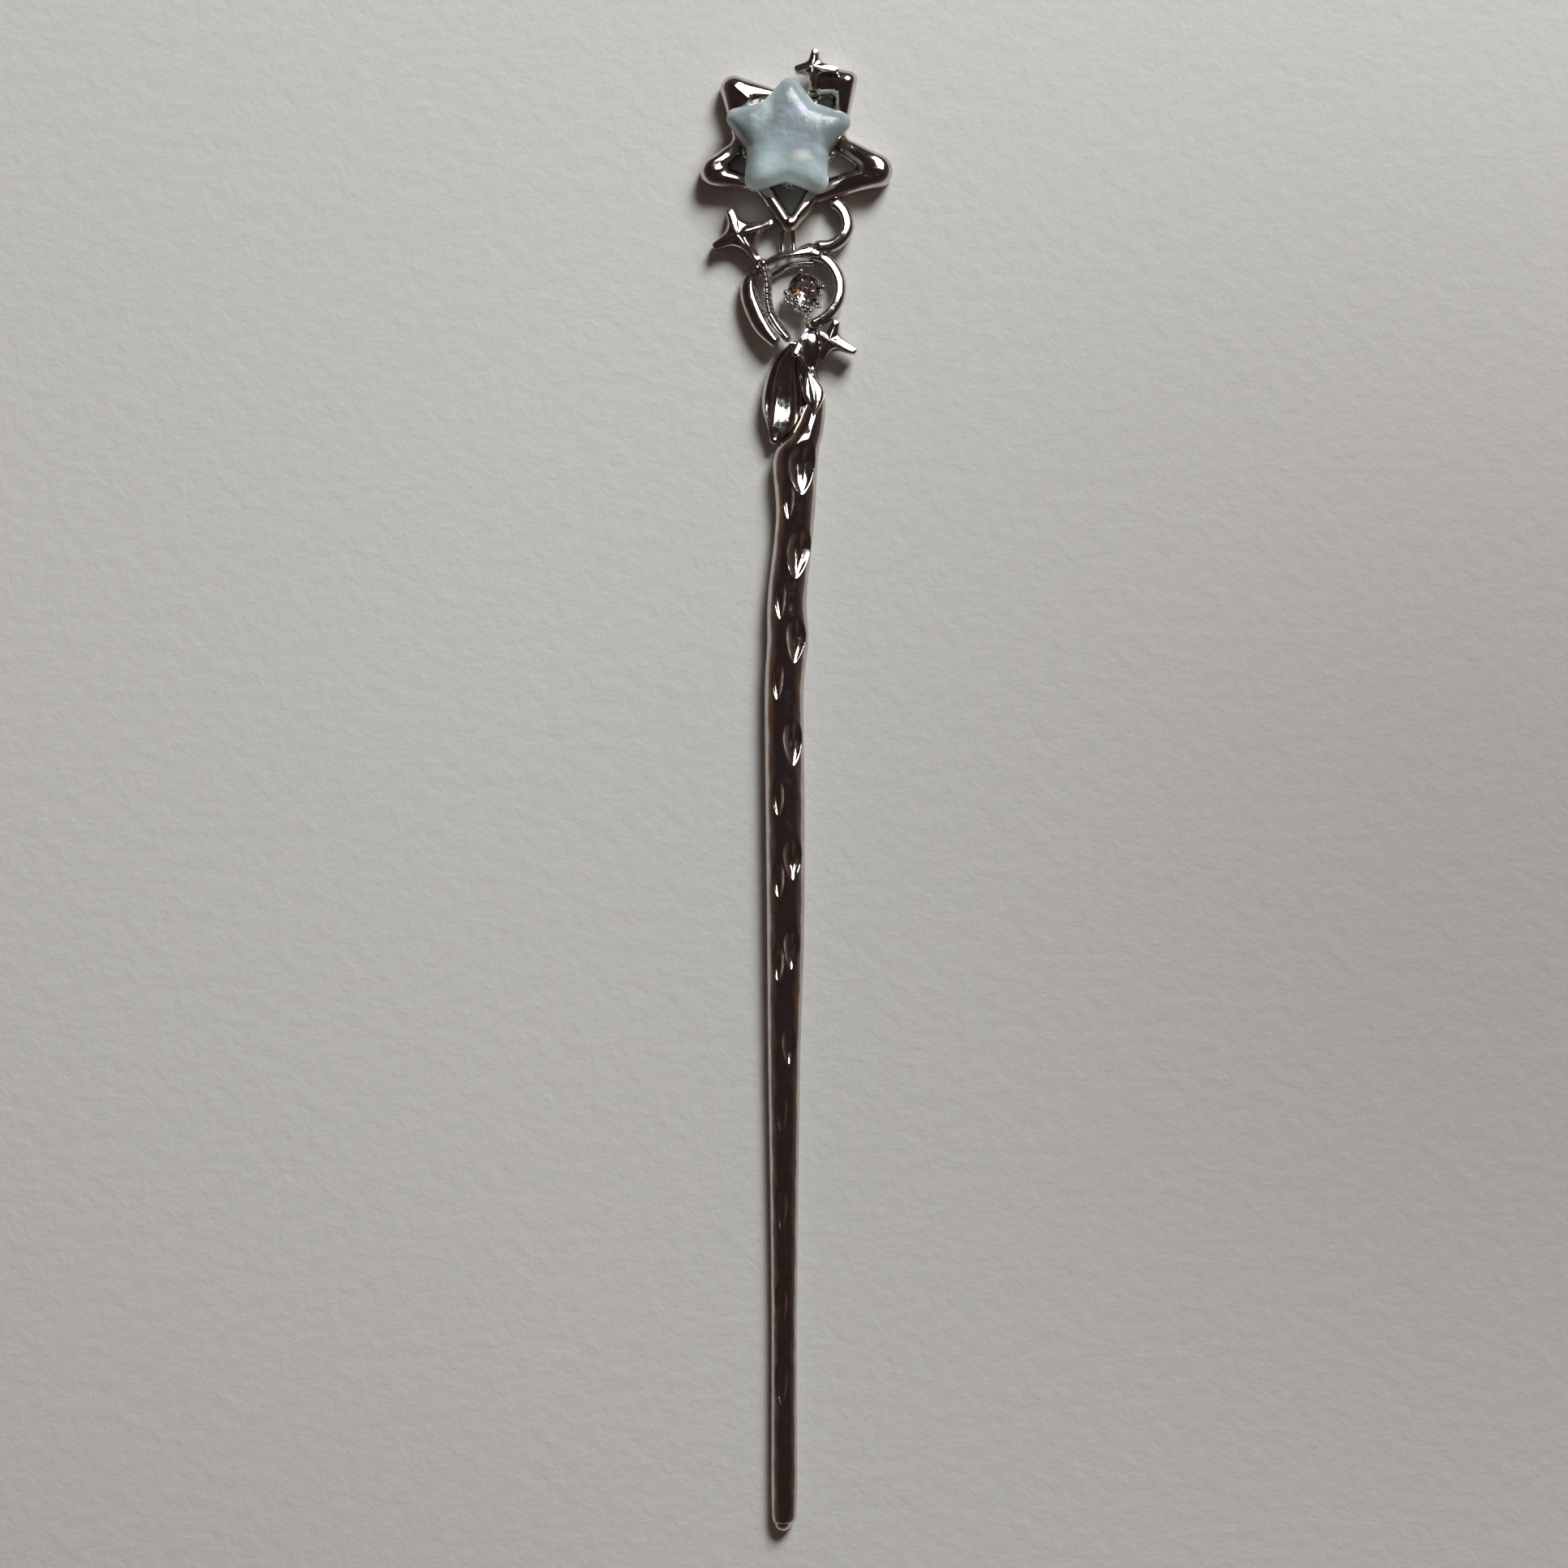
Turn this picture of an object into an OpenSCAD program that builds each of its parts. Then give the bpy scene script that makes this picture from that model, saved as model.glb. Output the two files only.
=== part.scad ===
// Hair stick with an open star head, a puffed star stone and a small round stone.
// The stick lies on its flat back: +Y runs from the shaft's tip to the head, +Z faces the viewer.
// The origin is on the back, under the middle of the star stone.

/* [Overall] */
// Length from the shaft's tip to the top of the head
pin_length = 169.4; // [150:0.1:185]
// Width of the head across the star frame
head_w = 22; // [20:0.5:26]

/* [Shaft] */
// Width of the shaft below the leaves
shaft_w = 4.6; // [3.8:0.1:5.4]
// Width of the shaft just before its rounded tip
shaft_tip_w = 2.8; // [2.2:0.1:3.4]
// Thickness of the shaft below the leaves
shaft_t = 3.2; // [2.6:0.1:3.8]
// Depth of the leaf-shaped dimples
dimple_depth = 0.5; // [0.2:0.05:0.7]

/* [Star frame] */
// Height of the puffy tips of the star frame
frame_tip_t = 3.2; // [2.6:0.1:4]
// Height of the frame where it passes under the stone
frame_low_t = 2; // [1.6:0.1:2.2]
// Thickness of the plate that the star stone is glued to
plate_t = 1.6; // [1.2:0.1:1.8]

/* [Star stone] */
// Distance from the stone's middle to its tips, before they are rounded
stone_tip_r = 8.3; // [7.8:0.1:8.8]
// Distance from the stone's middle to its notches
stone_notch_r = 4.9; // [4.6:0.1:5.2]
// Height of the puffed stone
stone_t = 4.2; // [3:0.1:5]
// Height of the stone's underside above the back
stone_lift = 2.4; // [2.3:0.1:3]

/* [Round stone] */
// Girdle diameter of the round stone
round_d = 3.7; // [3.2:0.1:3.8]
// Height of the round stone's girdle above the back
round_lift = 2.1; // [1.8:0.1:2.6]

/* [Wires] */
// Width of the scrollwork wires
wire_w = 1.35; // [1.1:0.05:1.6]
// Thickness of the scrollwork wires
wire_t = 1.8; // [1.5:0.05:2.2]
// Height of the four-pointed sparkles
sparkle_t = 1.9; // [1.5:0.1:2.4]

/* [Hidden] */
$fn = 48;

nominal_head_w = 22;           // the head's coordinates below are for this width
k = head_w / nominal_head_w;   // the head grows and shrinks as one
head_top = 10.42 * k;          // from the origin to the top sparkle's upper tip
tip_y = head_top - pin_length;
wire_z = wire_t / 2 + 0.15;    // wires clear the table a little
steel = [0.42, 0.4, 0.39];
dark_steel = [0.3, 0.28, 0.27];
aqua = [0.66, 0.77, 0.78];

curve_steps = 5;               // stations between two points of a route
wire_sides = 12;
end_steps = 3;                 // rings that round off each end of a wire

// ---------- curves and swept bodies ----------

function unit(v) = v / norm(v);
function place(row) = [row.x, row.y, row[2]];

// Smooth curve through rows of numbers; a row may hold sizes as well as a place
function between(a, b, c, d, t) =
    (2 * b + (c - a) * t + (2 * a - 5 * b + 4 * c - d) * t ^ 2 + (3 * b - a - 3 * c + d) * t ^ 3) / 2;
function curve(rows, steps = curve_steps) =
    let (last = len(rows) - 1) [
        for (i = [0 : last - 1], j = [0 : steps - 1])
            between(rows[max(i - 1, 0)], rows[i], rows[i + 1], rows[min(i + 2, last)], j / steps),
        rows[last],
    ];

// Rings that close a wire with a half round; rows are [x, y, z, width, thickness]
function rounded_end(row, outward) = [
    for (j = [0 : end_steps - 1])
        let (a = 90 * j / end_steps + 8, out = outward * row[3] / 2 * cos(a))
            [row.x + out.x, row.y + out.y, row[2], row[3] * sin(a), row[4] * sin(a)],
];
function reversed(list) = [for (i = [len(list) - 1 : -1 : 0]) list[i]];
function heading(rows, i) = unit(place(rows[min(i + 1, len(rows) - 1)]) - place(rows[max(i - 1, 0)]));
function with_ends(rows) =
    let (last = len(rows) - 1)
        concat(
            rounded_end(rows[0], -heading(rows, 0)),
            rows,
            reversed(rounded_end(rows[last], heading(rows, last)))
        );

// One ring of points across the heading, with a groove along the upper side
function ring(row, ahead, sides, groove = 0) =
    let (side = unit([-ahead.y, ahead.x, 0]), up = cross(ahead, side)) [
        for (j = [0 : sides - 1])
            let (a = 360 * j / sides, dip = groove * max(sin(a), 0) ^ 3)
                place(row) + side * row[3] / 2 * cos(a) + up * (row[4] / 2 * sin(a) - dip),
    ];

function mean(points) = [for (p = points) 1] * points / len(points);

// Closes a stack of rings, all with the same number of points, into one solid.
// Each end is a fan about its middle, which every point of the end ring can see
module skin(rings) {
    sides = len(rings[0]);
    count = len(rings);
    last = (count - 1) * sides;
    faces = [
        for (i = [0 : count - 2], j = [0 : sides - 1])
            let (a = i * sides + j, b = i * sides + (j + 1) % sides)
                each [[a, a + sides, b], [b, a + sides, b + sides]],
        for (j = [0 : sides - 1])
            let (next = (j + 1) % sides)
                each [[j, next, count * sides], [last + next, last + j, count * sides + 1]],
    ];
    ends = [mean(rings[0]), mean(rings[count - 1])];
    polyhedron(points = concat([for (r = rings) each r], ends), faces = faces, convexity = 6);
}

// A wire or leaf swept along a route of [x, y, z, width, thickness] in nominal head sizes
module sweep(route, groove = 0) {
    rows = with_ends(curve([for (p = route) [p.x * k, p.y * k, p[2], p[3], p[4]]]));
    skin([
        for (i = [0 : len(rows) - 1])
            ring(rows[i], heading(rows, i), wire_sides, groove * rows[i][4] / wire_t),
    ]);
}

// A wire of the common gauge through [x, y] points
module wire(points, w = wire_w, t = wire_t, z = wire_z) {
    sweep([for (p = points) [p.x, p.y, z, w, t]]);
}

// ---------- rounded outlines ----------

// Replaces each corner [x, y, radius] of a polygon by an arc of `steps` pieces
function rounded(corners, steps = 5) =
    let (n = len(corners)) [
        for (i = [0 : n - 1])
            let (
                c = [corners[i].x, corners[i].y],
                before = corners[(i + n - 1) % n],
                after = corners[(i + 1) % n],
                to_before = unit([before.x, before.y] - c),
                to_after = unit([after.x, after.y] - c),
                half = acos(to_before * to_after) / 2,
                r = corners[i][2],
                middle = c + unit(to_before + to_after) * r / sin(half),
                start = c + to_before * r / tan(half) - middle,
                end = c + to_after * r / tan(half) - middle,
                sweep_angle = 180 - 2 * half
            )
            for (j = [0 : steps])
                middle + (start * sin(sweep_angle * (1 - j / steps)) + end * sin(sweep_angle * j / steps))
                    / sin(sweep_angle),
    ];

// Corners of a star with one tip per share of tip_r, from the top anticlockwise
function star(shares, tip_r, notch_r, tip_round, notch_round, turn = 0) = [
    for (i = [0 : len(shares) - 1])
        let (a = 90 + turn + 360 * i / len(shares), b = a + 180 / len(shares))
            each [
                [tip_r * shares[i] * cos(a), tip_r * shares[i] * sin(a), tip_round],
                [notch_r * cos(b), notch_r * sin(b), notch_round],
            ],
];
function at_height(outline, z, scale = 1) = [for (p = outline) [p.x * scale, p.y * scale, z]];

// ---------- shaft ----------

shaft_x = -0.65;               // the lower shaft hangs a little left of the origin
stem_y = -33.5;                // the neck ends here and the long stem begins
nominal_tip_y = -159;          // the stem's coordinates below are for this tip
function down(y) = stem_y * k + (y - stem_y) * (tip_y - stem_y * k) / (nominal_tip_y - stem_y);

// The neck bends right under the leaves: [x, y, width, thickness] from the top down
neck = [
    [2.6, -26.5, 1.3, 1.6],
    [3, -29.5, 2.3, 2.1],
    [2.1, -33, 3.7, 2.8],
    [0.8, -36, shaft_w + 0.5, shaft_t],
];
// The long part waves gently from side to side as it narrows
stem = [
    [0.6, -43, 0.93],
    [-0.3, -52, 0.95],
    [-0.25, -57, 1],
    [-0.65, -63, 0.95],
    [-0.55, -76, 0.95],
    [-0.5, -90, 0.9],
    [shaft_x, -104, 0.78],
    [shaft_x, -120, 0.68],
];
rest_gap = 0.05;               // keeps the wavy underside off the back's plane
shaft_route = concat(
    [for (p = neck) [p.x * k, p.y * k, rest_gap + p[3] / 2, p[2], p[3]]],
    [for (p = stem) [p.x, down(p.y), rest_gap + shaft_t * p[2] / 2, shaft_w * p[2], shaft_t * p[2]]],
    [for (share = [0.35, 0.65, 0.93])
        let (t = shaft_t * 0.66)
            [shaft_x, down(-120) + share * (tip_y - down(-120)), rest_gap + t / 2, shaft_tip_w, t]],
    [[shaft_x, tip_y + shaft_tip_w * 0.35, rest_gap + shaft_t * 0.3, shaft_tip_w * 0.7, shaft_t * 0.55]]
);

// Dimples sit in two staggered rows: [x from the middle, y]
dimple_length = 6.4;
dimple_width = 1.9;
dimples = concat(
    [for (y = [-37.5, -47, -57, -69, -82, -92, -103.5]) [1, down(y)]],
    [for (y = [-41, -52, -61.5, -75, -84.5, -94, -110, -122, -134, -141.5]) [-0.9, down(y)]]
);
function dip(x, y) = dimple_depth * max([
    for (d = dimples)
        max(0, 1 - ((y - d.y) / dimple_length * 2) ^ 2 - ((x - d.x) / dimple_width * 2) ^ 2),
]);

module shaft() {
    sides = 20;
    rows = with_ends(curve(shaft_route, 8));
    color(dark_steel)
        skin([
            for (row = rows)
                [
                    for (j = [0 : sides - 1])
                        let (
                            a = 360 * j / sides,
                            x = row[3] / 2 * cos(a),
                            rise = row[4] / 2 * sin(a)
                        )
                        [row.x + x, row.y, row[2] + rise - (rise > 0 ? dip(x, row.y) : 0)],
                ],
        ]);
}

// ---------- leaves and curl at the shaft's top ----------

module leaf_large() {
    color(dark_steel)
        sweep([
            [0.3, -23.6, 1.5, 1.4, 1.8],
            [-0.5, -26, 1.5, 3.5, 2.6],
            [-0.6, -29, 1.55, 4.8, 3],
            [-0.9, -31.6, 1.5, 4.2, 2.8],
            [-1.6, -34, 1.2, 1.3, 1.8],
        ], 1.1);
}

module leaf_small() {
    color(steel)
        sweep([
            [2.5, -26.8, 2.4, 0.6, 0.8],
            [3, -28.8, 2.75, 2, 1.4],
            [3, -31, 3, 0.6, 0.6],
        ]);
}

module shaft_curl() {
    color(dark_steel)
        sweep([
            [2.9, -25.8, 1.7, 0.8, 1.4],
            [2.6, -24.4, 1.8, 1.8, 2],
            [2.4, -23, 1.9, 2.5, 2.2],
            [2.7, -22, 1.8, 1.7, 1.8],
        ], 0.9);
}

module leaf_midrib() {
    color(steel) sweep([[1.1, -24.2, 2, 1.1, 1.4], [1.6, -25, 2.1, 1.1, 1.4], [2.3, -26, 2.1, 0.9, 1.2]]);
}

// ---------- scrollwork ----------

module strand_outer() {
    color(steel)
        sweep([
            [-3.6, -14.4, wire_z, 1.2, wire_t],
            [-4.5, -15.8, wire_z, 1.7, wire_t],
            [-4.55, -17.4, wire_z, 2, wire_t],
            [-4, -19.2, wire_z, 2.1, wire_t],
            [-3, -21.2, wire_z, 2, wire_t],
            [-1.7, -22.8, wire_z, 1.5, wire_t],
        ]);
}

module strand_inner() {
    color(steel)
        wire([
            [-2.9, -14.4], [-2.45, -16], [-2.4, -18], [-1.9, -19.6], [-0.9, -21.1], [0, -22.4],
        ], 1, 1.5, 1.6);
}

// Places on a wire that climbs as it runs down the head
climb = 0.15;                  // rise per unit of length down the head
function climbing(points, w, t) =
    [for (p = points) [p.x, p.y, wire_z - 0.1 + climb * (points[0].y - p.y), w, t]];

module stone_ring() {
    color(steel)
        sweep(climbing([
            [2.9, -12.9], [4.4, -13.5], [5.5, -14.9], [5.9, -16.5], [5.65, -18.1],
            [4.85, -19.5], [3.8, -20.4], [2.9, -20.9],
        ], wire_w, wire_t));
}

module crossbar_upper() {
    color(steel) wire([[2.6, -12.6], [1.2, -12.8], [-0.4, -13], [-1.9, -13.6]], 1, 1.6, 1.8);
}

module crossbar_lower() {
    color(steel) wire([[2.6, -13.8], [1.3, -13.85], [-0.2, -14.2], [-1.8, -15.1]], 0.8, 1, 0.7);
}

module bow_loop() {
    color(steel)
        sweep(climbing([
            [5.4, -7], [6.1, -7.6], [6.6, -8.6], [6.7, -9.9], [6, -11.1], [4.8, -11.9], [3.5, -12],
        ], 1.5, 1.9));
}

module link_posts() {
    for (x = [-0.75, 0.5])
        color(steel)
            translate([x * k, -12.3 * k, wire_z])
                rotate([-90, 0, 0]) cylinder(h = 1.9 * k, d = 0.75);
}

module joint_bead() {
    color(steel) translate([-2.95 * k, -13.95 * k, 1.9]) sphere(d = 1.2);
}

// ---------- star frame and its stone ----------

// Corners of the frame, anticlockwise from the right tip:
// [outer x, outer y, outer radius, inner x, inner y, inner radius, height]
frame_corners = [
    [15.6, -3.9, 1.95, 7.9, -3, 0.4, 1],
    [6.4, 0.6, 1, 4.9, -0.8, 0.5, 0],
    [8.05, 7.9, 1, 4.9, 5.1, 0.4, 1],
    [3, 8.8, 0.5, 3.1, 4.9, 0.3, 0.6],
    [1.8, 4.9, 0.5, 1.5, 4.25, 0.4, 0],
    [-8.5, 8.4, 1.5, -3.5, 3.8, 0.4, 1],
    [-6.4, 0.2, 1, -4.8, -0.8, 0.5, 0],
    [-13.3, -4.9, 1.75, -6.9, -2.9, 0.4, 0.9],
    [-3.9, -5.6, 1, -2.1, -4.4, 0.6, 0],
    [-0.1, -11, 1, 0.2, -8.4, 0.3, 0.6],
    [3.3, -7, 1, 2.2, -4.8, 0.5, 0],
];

module star_frame() {
    arc_steps = 4;
    dome_steps = 7;
    outer = rounded([for (c = frame_corners) [c.x * k, c.y * k, c[2]]], arc_steps);
    inner = rounded([for (c = frame_corners) [c[3] * k, c[4] * k, c[5]]], arc_steps);
    heights = [
        for (c = frame_corners, j = [0 : arc_steps]) frame_low_t + c[6] * (frame_tip_t - frame_low_t),
    ];
    count = len(outer);
    points = [
        for (i = [0 : count - 1], j = [0 : dome_steps])
            let (
                a = 180 * j / dome_steps,
                p = outer[i] + (inner[i] - outer[i]) * (1 - cos(a)) / 2
            )
            [p.x, p.y, heights[i] * sin(a)],
    ];
    sides = dome_steps + 1;
    faces = [
        for (i = [0 : count - 1], j = [0 : sides - 1])
            let (
                next = (i + 1) % count,
                a = i * sides + j,
                b = i * sides + (j + 1) % sides,
                c = next * sides + j,
                d = next * sides + (j + 1) % sides
            )
            each [[a, b, c], [b, d, c]],
    ];
    color(steel) polyhedron(points = points, faces = faces, convexity = 8);
}

plate_r = 4.15 * k;

module setting_plate() {
    color(dark_steel) cylinder(h = plate_t, r = plate_r);
}

claw_r = 0.38;
claw_turn = -36;
module star_claws() {
    for (i = [0 : 4])
        color(steel) rotate([0, 0, 90 + claw_turn + 72 * i]) {
            translate([plate_r + claw_r + 0.6, 0, plate_t * 0.9]) cylinder(h = 1.2, r = claw_r);
            translate([plate_r + claw_r + 0.6, 0, plate_t * 0.9 + 1.2]) sphere(r = claw_r * 1.25);
        }
}

module star_adhesive() {
    step_z = frame_low_t + 0.05;   // the bed widens above the frame, under the stone
    color("dimgray")
        rotate_extrude()
            polygon([
                [0, plate_t],
                [plate_r - 0.25, plate_t],
                [plate_r - 0.25, step_z],
                [stone_notch_r * k - 0.1, step_z],
                [stone_notch_r * k - 0.1, stone_lift],
                [0, stone_lift],
            ]);
}

stone_turn = -2;
stone_middle = [-0.1, 0.1];
stone_tip_shares = [0.92, 1, 1, 1, 1];   // the upper tip is the blunt one
module star_cabochon() {
    dome_steps = 6;
    outline = rounded(star(stone_tip_shares, stone_tip_r, stone_notch_r, 1.1, 0.9, stone_turn));
    wall = 0.28;               // share of the height that stands nearly straight
    levels = concat(
        [[0.93, 0], [0.985, 0.08], [1, wall]],
        [for (j = [1 : dome_steps]) let (a = 88 * j / dome_steps) [cos(a) ^ 0.75, wall + (1 - wall) * sin(a)]]
    );
    color(aqua)
        translate([stone_middle.x * k, stone_middle.y * k, stone_lift])
            skin([for (level = levels) at_height(outline, level[1] * stone_t, level[0])]);
}

// ---------- sparkles ----------

// Corners of a four-fingered star about its middle; arms are [x, y] anticlockwise.
// `share` pulls the sides of the fingers towards their middle lines
finger_w = 0.85;
function corner(at, r) = [at.x, at.y, r];
function fingers(arms, notch, fillet, share) = [
    for (i = [0 : 3])
        let (
            arm = unit(arms[i]),
            half = finger_w / 2 * (1 - share),
            side = [-arm.y, arm.x] * half,
            end = arms[i] - arm * finger_w / 2 * share,
            inside = unit(arm + unit(arms[(i + 1) % 4]))
        )
        each [
            corner(end - side, half * 0.8),
            corner(end + side, half * 0.8),
            corner(inside * notch * (1 - share * 0.9), fillet * (1 - share * 0.9)),
        ],
];

module sparkle(middle, arms, notch, fillet, z) {
    levels = [[0.1, 0], [0, 0.3], [0.3, 0.75], [0.8, 1]];   // [share, share of the height]
    color(steel)
        translate([middle.x * k, middle.y * k, z])
            skin([
                for (l = levels)
                    at_height(rounded(fingers(arms * k, notch * k, fillet, l[0]), 3), l[1] * sparkle_t),
            ]);
}

module sparkle_top() {
    sparkle([2.8, 8.35], [[2.9, -0.5], [0.25, 2.05], [-2.2, -0.4], [-0.1, -2.9]], 0.8, 0.4, 2.2);
}

module sparkle_left() {
    sparkle([-5.7, -10.5], [[4, 1.35], [-1.1, 2.8], [-3, -1.55], [2.4, -3.2]], 1.35, 1.2, 0.4);
}

module sparkle_right() {
    sparkle([4.75, -22.6], [[3, -1.5], [0.75, 2.2], [-1.5, 0.6], [-1.2, -2.5]], 1.05, 0.6, 1.1);
}

// ---------- round stone and its setting ----------

round_at = [1.75 * k, -16.95 * k];
pavilion_h = 0.9;              // from the girdle down to the small flat back
girdle_h = 0.15;
crown_h = 0.55;
back_r = 0.4;
function pavilion_z(r) = pavilion_h * (r - back_r) / (round_d / 2 - back_r);
cup_drop = 1.3;                // from the girdle down to the foot of the setting

module at_round_stone(z) {
    translate([round_at.x, round_at.y, z]) children();
}

module stone_cup() {
    color(steel)
        at_round_stone(round_lift - cup_drop)
            difference() {
                cylinder(h = cup_drop - 0.3, d1 = round_d * 0.78, d2 = round_d * 0.94);
                translate([0, 0, -0.01])
                    cylinder(h = cup_drop, d1 = round_d * 0.4, d2 = round_d * 0.94);
            }
}

module stone_prongs() {
    prong_d = 0.55;
    for (turn = [8, 100, 190, 280])
        color(steel)
            at_round_stone(round_lift - cup_drop)
                rotate([0, 0, turn])
                    translate([round_d / 2 + prong_d / 2, 0, 0]) {
                        cylinder(h = cup_drop + girdle_h, d = prong_d);
                        translate([0, 0, cup_drop + girdle_h]) sphere(d = prong_d * 1.3);
                    }
}

module gallery_beads() {
    bead_d = 0.7;
    for (i = [0 : 2])
        color(steel)
            translate([round_at.x + (0.1 + 0.12 * i) * k, round_at.y - (2.5 + 0.72 * i) * k, 1.5])
                sphere(d = bead_d);
}

module stone_foil() {
    foil_t = 0.1;
    rim_r = round_d / 2 - 0.3;
    color("silver")
        at_round_stone(round_lift - pavilion_h)
            rotate_extrude()
                polygon([
                    [0, -foil_t],
                    [back_r, -foil_t],
                    [rim_r, pavilion_z(rim_r) - foil_t],
                    [rim_r, pavilion_z(rim_r)],
                    [back_r, 0],
                    [0, 0],
                ]);
}

module round_stone() {
    facets = 16;
    girdle_r = round_d / 2;
    table_r = round_d * 0.29;
    levels = [
        [back_r, 0],
        [girdle_r, pavilion_h],
        [girdle_r, pavilion_h + girdle_h],
        [table_r, pavilion_h + girdle_h + crown_h],
    ];
    color("white", 0.6)
        at_round_stone(round_lift - pavilion_h)
            skin([
                for (l = levels) [
                    for (j = [0 : facets - 1])
                        let (a = 360 * j / facets) [l[0] * cos(a), l[0] * sin(a), l[1]],
                ],
            ]);
}

shaft();
leaf_large();
leaf_small();
shaft_curl();
leaf_midrib();
strand_outer();
strand_inner();
stone_ring();
crossbar_upper();
crossbar_lower();
bow_loop();
link_posts();
joint_bead();
star_frame();
setting_plate();
star_claws();
star_adhesive();
star_cabochon();
sparkle_top();
sparkle_left();
sparkle_right();
stone_cup();
stone_prongs();
gallery_beads();
stone_foil();
round_stone();
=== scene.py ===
"""Looks of the hair stick: polished cast metal, a puffed pearly star stone and a small faceted stone,
lying face up on pale paper and seen from straight above.

Places on the stick are written in head units: a millimetre at the size the stick is drawn, measured from
the middle of the star setting's back, +Y towards the head's top and +Z out of the front.
"""

import math

import bpy
import numpy as np
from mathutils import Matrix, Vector


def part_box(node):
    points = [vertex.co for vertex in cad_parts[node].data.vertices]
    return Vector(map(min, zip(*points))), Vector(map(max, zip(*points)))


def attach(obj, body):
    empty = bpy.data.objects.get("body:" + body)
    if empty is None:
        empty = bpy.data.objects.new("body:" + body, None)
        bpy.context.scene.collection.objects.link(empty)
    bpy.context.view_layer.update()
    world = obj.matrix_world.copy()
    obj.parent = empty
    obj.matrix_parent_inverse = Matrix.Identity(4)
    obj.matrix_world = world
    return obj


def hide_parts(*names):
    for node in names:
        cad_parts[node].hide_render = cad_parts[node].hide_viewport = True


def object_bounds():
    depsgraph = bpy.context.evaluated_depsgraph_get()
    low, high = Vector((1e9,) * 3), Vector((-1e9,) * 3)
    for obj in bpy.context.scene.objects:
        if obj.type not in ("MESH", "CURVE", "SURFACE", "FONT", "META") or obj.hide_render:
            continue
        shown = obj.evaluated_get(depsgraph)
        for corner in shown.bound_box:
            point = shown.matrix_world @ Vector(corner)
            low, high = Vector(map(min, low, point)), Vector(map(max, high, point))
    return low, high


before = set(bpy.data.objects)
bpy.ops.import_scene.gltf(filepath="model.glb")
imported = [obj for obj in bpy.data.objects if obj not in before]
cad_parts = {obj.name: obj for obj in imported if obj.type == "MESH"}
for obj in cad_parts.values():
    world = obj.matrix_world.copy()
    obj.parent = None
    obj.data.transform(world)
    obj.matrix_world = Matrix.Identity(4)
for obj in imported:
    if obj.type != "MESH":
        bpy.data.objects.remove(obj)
cad_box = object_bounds()

TAU = 2 * math.pi

# ---------------------------------------------------------------- places, all from the frame

NOMINAL_HEAD_WIDTH = 22.047    # of the star frame, in head units


def corners(node):
    """A node's lowest and highest corners as arrays, in metres."""
    low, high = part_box(node)
    return np.array(low, float), np.array(high, float)


frame_low, frame_high = corners("star_frame")
UNIT = (frame_high[0] - frame_low[0]) / NOMINAL_HEAD_WIDTH
plate_low, plate_high = corners("setting_plate")
ORIGIN = np.array([(plate_low[0] + plate_high[0]) / 2, (plate_low[1] + plate_high[1]) / 2, plate_low[2]])


def head(points):
    """Head units as metres in the frame."""
    return ORIGIN + np.asarray(points, float) * UNIT


def in_units(node):
    """A node's lowest and highest corners in head units."""
    low, high = corners(node)
    return (low - ORIGIN) / UNIT, (high - ORIGIN) / UNIT


# ---------------------------------------------------------------- mesh building


def power(values, exponent):
    """A power that keeps the sign."""
    return np.sign(values) * np.abs(values) ** exponent


def unit_rows(vectors):
    return vectors / np.linalg.norm(vectors, axis=-1, keepdims=True)


def bell(values):
    return np.exp(-(values**2))


def smooth_curve(rows, steps):
    """Catmull-Rom curve through rows of numbers, with `steps` stations between two rows."""
    rows = np.asarray(rows, float)
    padded = np.vstack([rows[:1], rows, rows[-1:]])
    t = (np.arange(steps) / steps)[:, None]
    spans = []
    for a, b, c, d in zip(padded, padded[1:], padded[2:], padded[3:]):
        squared = 2 * a - 5 * b + 4 * c - d
        cubed = 3 * b - a - 3 * c + d
        spans.append((2 * b + (c - a) * t + squared * t**2 + cubed * t**3) / 2)
    return np.vstack(spans + [rows[-1:]])


def add_piece(name, vertices, faces, material, node, smooth=True):
    """A mesh object, given in head units, that rides on the one rigid body and stands for its CAD node."""
    mesh = bpy.data.meshes.new(name)
    mesh.from_pydata([tuple(v) for v in head(vertices)], [], faces)
    mesh.update()
    mesh.polygons.foreach_set("use_smooth", [smooth] * len(mesh.polygons))
    mesh.materials.append(material)
    piece = bpy.data.objects.new(name, mesh)
    bpy.context.scene.collection.objects.link(piece)
    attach(piece, "root")
    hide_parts(node)
    return piece


def loft_mesh(rings, closed=False, first=0):
    """Vertices and faces of a stack of rings; an open stack gets a fan about the middle of each end.
    Faces count their vertices from `first`."""
    rings = np.asarray(rings, float)
    count, sides = rings.shape[:2]
    index = first + np.arange(count * sides).reshape(count, sides)
    following = np.roll(index, -1, axis=1)
    if closed:
        upper, upper_following = np.roll(index, -1, axis=0), np.roll(following, -1, axis=0)
        quads = np.stack([index, following, upper_following, upper], -1)
        return rings.reshape(-1, 3), quads.reshape(-1, 4).tolist()
    quads = np.stack([index[:-1], following[:-1], following[1:], index[1:]], -1).reshape(-1, 4).tolist()
    low_hub, high_hub = first + count * sides, first + count * sides + 1
    fans = [[b, a, low_hub] for a, b in zip(index[0].tolist(), following[0].tolist())]
    fans += [[a, b, high_hub] for a, b in zip(index[-1].tolist(), following[-1].tolist())]
    hubs = np.array([rings[0].mean(axis=0), rings[-1].mean(axis=0)])
    return np.vstack([rings.reshape(-1, 3), hubs]), quads + fans


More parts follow.
